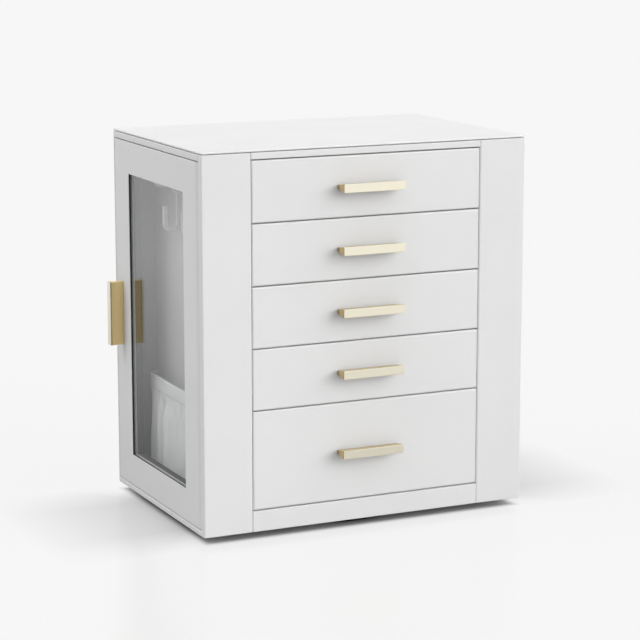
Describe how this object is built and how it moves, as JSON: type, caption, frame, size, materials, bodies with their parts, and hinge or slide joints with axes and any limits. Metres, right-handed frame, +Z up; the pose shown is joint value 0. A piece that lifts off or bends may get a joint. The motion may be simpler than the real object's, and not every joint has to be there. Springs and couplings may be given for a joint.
{
  "type": "rotating jewelry organizer",
  "caption": "Leather-wrapped tabletop jewelry cabinet with a stack of drawers between glazed side doors with hooks and pouches, on a round swivel base.",
  "frame": {"origin": "on the swivel axis, at the face of the base pad that rests on the table", "axes": "+Z up along the swivel axis, the drawers open towards -Y, +X to the right seen from the front"},
  "size_m": [0.305, 0.2025, 0.305],
  "materials": {
    "white_leather": "fine grained white leather over board",
    "velvet": "short pile, pale grey",
    "gold_metal": "satin brushed",
    "clear_glass": "polished",
    "black_seal": "matte",
    "black_pad": "matte, non-slip",
    "black_plastic": "moulded",
    "steel": "plated",
    "hook_plastic": "moulded white",
    "pouch_fabric": "soft satin cloth, gathered"
  },
  "bodies": {
    "cabinet": {"back_panel": "white_leather", "bay_dividers": "white_leather", "bearing_plate": "steel", "bearing_screws": "steel", "bottom_board": "white_leather", "compartment_liner_left": "velvet", "compartment_liner_right": "velvet", "door_magnets": "steel", "drawer_shelves": "white_leather", "front_apron": "white_leather", "front_pillars": "white_leather", "hook_rack_left": "hook_plastic", "hook_rack_right": "hook_plastic", "pouch_left": "pouch_fabric", "pouch_right": "pouch_fabric", "top_board": "white_leather", "top_panel": "white_leather"},
    "swivel_base": {"base_disc": "black_plastic", "base_pad": "black_pad", "bearing_balls": "steel", "centre_rivet": "steel"},
    "door_left": {"door_left_bead": "velvet", "door_left_fittings": "steel", "door_left_frame": "white_leather", "door_left_glass": "clear_glass", "door_left_handle": "gold_metal", "door_left_pivot_pins": "steel", "door_left_seal": "black_seal"},
    "door_right": {"door_right_bead": "velvet", "door_right_fittings": "steel", "door_right_frame": "white_leather", "door_right_glass": "clear_glass", "door_right_handle": "gold_metal", "door_right_pivot_pins": "steel", "door_right_seal": "black_seal"},
    "drawer_1": {"drawer_1_front": "white_leather", "drawer_1_handle": "gold_metal", "drawer_1_insert": "velvet", "drawer_1_screws": "steel", "drawer_1_tray": "white_leather"},
    "drawer_2": {"drawer_2_front": "white_leather", "drawer_2_handle": "gold_metal", "drawer_2_insert": "velvet", "drawer_2_screws": "steel", "drawer_2_tray": "white_leather"},
    "drawer_3": {"drawer_3_front": "white_leather", "drawer_3_handle": "gold_metal", "drawer_3_insert": "velvet", "drawer_3_screws": "steel", "drawer_3_tray": "white_leather"},
    "drawer_4": {"drawer_4_front": "white_leather", "drawer_4_handle": "gold_metal", "drawer_4_insert": "velvet", "drawer_4_screws": "steel", "drawer_4_tray": "white_leather"},
    "drawer_5": {"drawer_5_front": "white_leather", "drawer_5_handle": "gold_metal", "drawer_5_insert": "velvet", "drawer_5_screws": "steel", "drawer_5_tray": "white_leather"}
  },
  "joints": [
    {"name": "cabinet_swivel", "type": "hinge", "parent": "swivel_base", "child": "cabinet", "pos_m": [0, 0, 0], "axis": [0, 0, 1], "continuous": true},
    {"name": "drawer_1_slide", "type": "slide", "parent": "cabinet", "child": "drawer_1", "axis": [0, -1, 0], "range_m": [0, 0.13]},
    {"name": "drawer_2_slide", "type": "slide", "parent": "cabinet", "child": "drawer_2", "axis": [0, -1, 0], "range_m": [0, 0.13]},
    {"name": "drawer_3_slide", "type": "slide", "parent": "cabinet", "child": "drawer_3", "axis": [0, -1, 0], "range_m": [0, 0.13]},
    {"name": "drawer_4_slide", "type": "slide", "parent": "cabinet", "child": "drawer_4", "axis": [0, -1, 0], "range_m": [0, 0.13]},
    {"name": "drawer_5_slide", "type": "slide", "parent": "cabinet", "child": "drawer_5", "axis": [0, -1, 0], "range_m": [0, 0.13]},
    {"name": "door_left_hinge", "type": "hinge", "parent": "cabinet", "child": "door_left", "pos_m": [-0.134, -0.0822, 0], "axis": [0, 0, 1], "range_deg": [0, 90]},
    {"name": "door_right_hinge", "type": "hinge", "parent": "cabinet", "child": "door_right", "pos_m": [0.134, -0.0822, 0], "axis": [0, 0, -1], "range_deg": [0, 90]}
  ]
}
